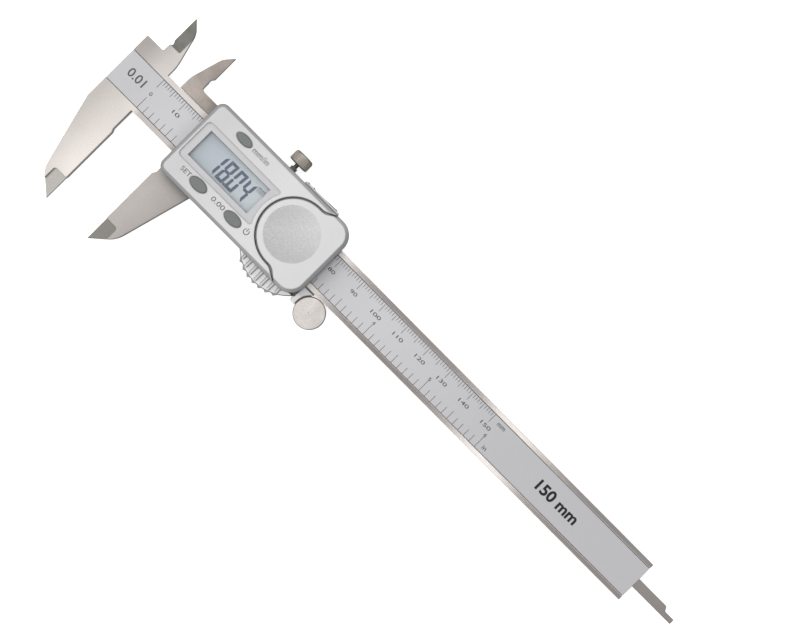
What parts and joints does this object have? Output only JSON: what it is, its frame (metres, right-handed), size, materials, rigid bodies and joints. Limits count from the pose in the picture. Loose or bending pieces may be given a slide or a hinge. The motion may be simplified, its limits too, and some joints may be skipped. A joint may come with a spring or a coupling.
{
  "type": "digital caliper",
  "caption": "Digital caliper: graduated steel beam with fixed jaws and a slider with moving jaws, display, buttons, coin cell, thumb roller, lock screw and depth rod.",
  "frame": {"origin": "centre of the bottom of the whole caliper's box, lying on its back at the stored opening", "axes": "+X along the beam from the fixed jaws to the tail, +Y across the beam from the outside jaws to the inside jaws, +Z from the back to the display"},
  "size_m": [0.2524, 0.0738, 0.0139],
  "materials": {
    "beam_steel": "satin ground stainless steel, bright and slightly warm",
    "slider_steel": "satin ground stainless steel, slightly darker and warmer on the rear inside jaw",
    "rod_steel": "drawn stainless rod, warm grey",
    "plate_steel": "brushed stainless plate",
    "screw_steel": "bright slotted screws",
    "roller_steel": "turned stainless with fine rings, serrated rim",
    "lock_nickel": "knurled, nickel plated, taupe",
    "gib_brass": "ground brass",
    "strip_fibre": "glass fibre laminate",
    "label_film": "silver grey printed film",
    "housing_silver": "silver painted plastic, very fine metallic grain",
    "lid_silver": "silver painted plastic with a speckled thumb dish",
    "bracket_silver": "silver grey plastic",
    "seal_rubber": "black rubber",
    "window_clear": "clear hard coated window",
    "lcd_panel": "pale blue grey liquid crystal panel",
    "holder_plastic": "dark grey plastic",
    "connector_rubber": "banded conductive rubber",
    "board_green": "green solder resist",
    "chip_resin": "black resin",
    "switch_metal": "nickel plated dome on a dark base",
    "contact_metal": "nickel plated spring contact",
    "cell_metal": "nickel plated can",
    "connector_block": "black block with plated blades",
    "button_rubber": "grey green moulded rubber",
    "print_ink": "printed lines, figures and legends",
    "segment_ink": "lit segments of the display",
    "border_print": "silver border printed on the back of the window"
  },
  "bodies": {
    "beam": {"beam_with_fixed_jaws": "beam_steel", "scale_strip": "strip_fibre", "scale_label": "label_film", "end_stop_plate": "plate_steel", "end_stop_screw_1": "screw_steel", "end_stop_screw_2": "screw_steel"},
    "slider": {"slider_frame": "slider_steel", "gib_strip": "gib_brass", "gib_screw_1": "screw_steel", "gib_screw_2": "screw_steel", "depth_rod": "rod_steel", "depth_rod_screw": "screw_steel", "housing_base": "housing_silver", "housing_cover": "housing_silver", "housing_gasket": "seal_rubber", "housing_screw_1": "screw_steel", "housing_screw_2": "screw_steel", "housing_screw_3": "screw_steel", "housing_screw_4": "screw_steel", "display_window": "window_clear", "lcd_glass": "lcd_panel", "lcd_holder": "holder_plastic", "panel_connector_upper": "connector_rubber", "panel_connector_lower": "connector_rubber", "sensor_board": "board_green", "board_screw_1": "screw_steel", "board_screw_2": "screw_steel", "board_screw_3": "screw_steel", "board_screw_4": "screw_steel", "processor_blob": "chip_resin", "battery": "cell_metal", "battery_contact_negative": "contact_metal", "battery_contact_positive": "contact_metal", "battery_seal": "seal_rubber", "data_connector": "connector_block", "dome_switch_units": "switch_metal", "dome_switch_abs": "switch_metal", "dome_switch_zero": "switch_metal", "lock_screw_bush": "seal_rubber", "beam_wiper": "seal_rubber", "roller_axle": "roller_steel", "thumb_rest": "housing_silver", "roller_bracket": "bracket_silver", "bracket_screw_1": "screw_steel", "bracket_screw_2": "screw_steel"},
    "battery_lid": {"battery_cover": "lid_silver"},
    "port_cover": {"data_port_cover": "housing_silver"},
    "units_key": {"button_units": "button_rubber"},
    "abs_key": {"button_abs": "button_rubber"},
    "zero_key": {"button_zero": "button_rubber"},
    "roller": {"thumb_roller": "roller_steel"},
    "clamp_screw": {"lock_screw": "lock_nickel"}
  },
  "joints": [
    {"name": "slider_travel", "type": "slide", "parent": "beam", "child": "slider", "axis": [1, 0, 0], "range_m": [-0.01804, 0.13196]},
    {"name": "thumb_roller_spin", "type": "hinge", "parent": "slider", "child": "roller", "pos_m": [-0.02777, -0.00365, 0.0034], "axis": [0, 0, 1], "range_deg": [-188.13, 1374.88]},
    {"name": "lock_screw_turn", "type": "hinge", "parent": "slider", "child": "clamp_screw", "pos_m": [-0.06397, 0.02885, 0.0039], "axis": [0, 1, 0], "range_deg": [-90, 360]},
    {"name": "units_press", "type": "slide", "parent": "slider", "child": "units_key", "axis": [0, 0, -1], "range_m": [0, 0.0006], "stiffness_N_per_m": 600},
    {"name": "abs_press", "type": "slide", "parent": "slider", "child": "abs_key", "axis": [0, 0, -1], "range_m": [0, 0.0006], "stiffness_N_per_m": 600},
    {"name": "zero_press", "type": "slide", "parent": "slider", "child": "zero_key", "axis": [0, 0, -1], "range_m": [0, 0.0006], "stiffness_N_per_m": 600},
    {"name": "battery_lid_slide", "type": "slide", "parent": "slider", "child": "battery_lid", "axis": [1, 0, 0], "range_m": [0, 0.028]},
    {"name": "port_cover_pull", "type": "slide", "parent": "slider", "child": "port_cover", "axis": [0, 1, 0], "range_m": [0, 0.006]}
  ],
  "couplings": [
    {"joint": "thumb_roller_spin", "follows": "slider_travel", "rad_per_m": 181.82}
  ]
}
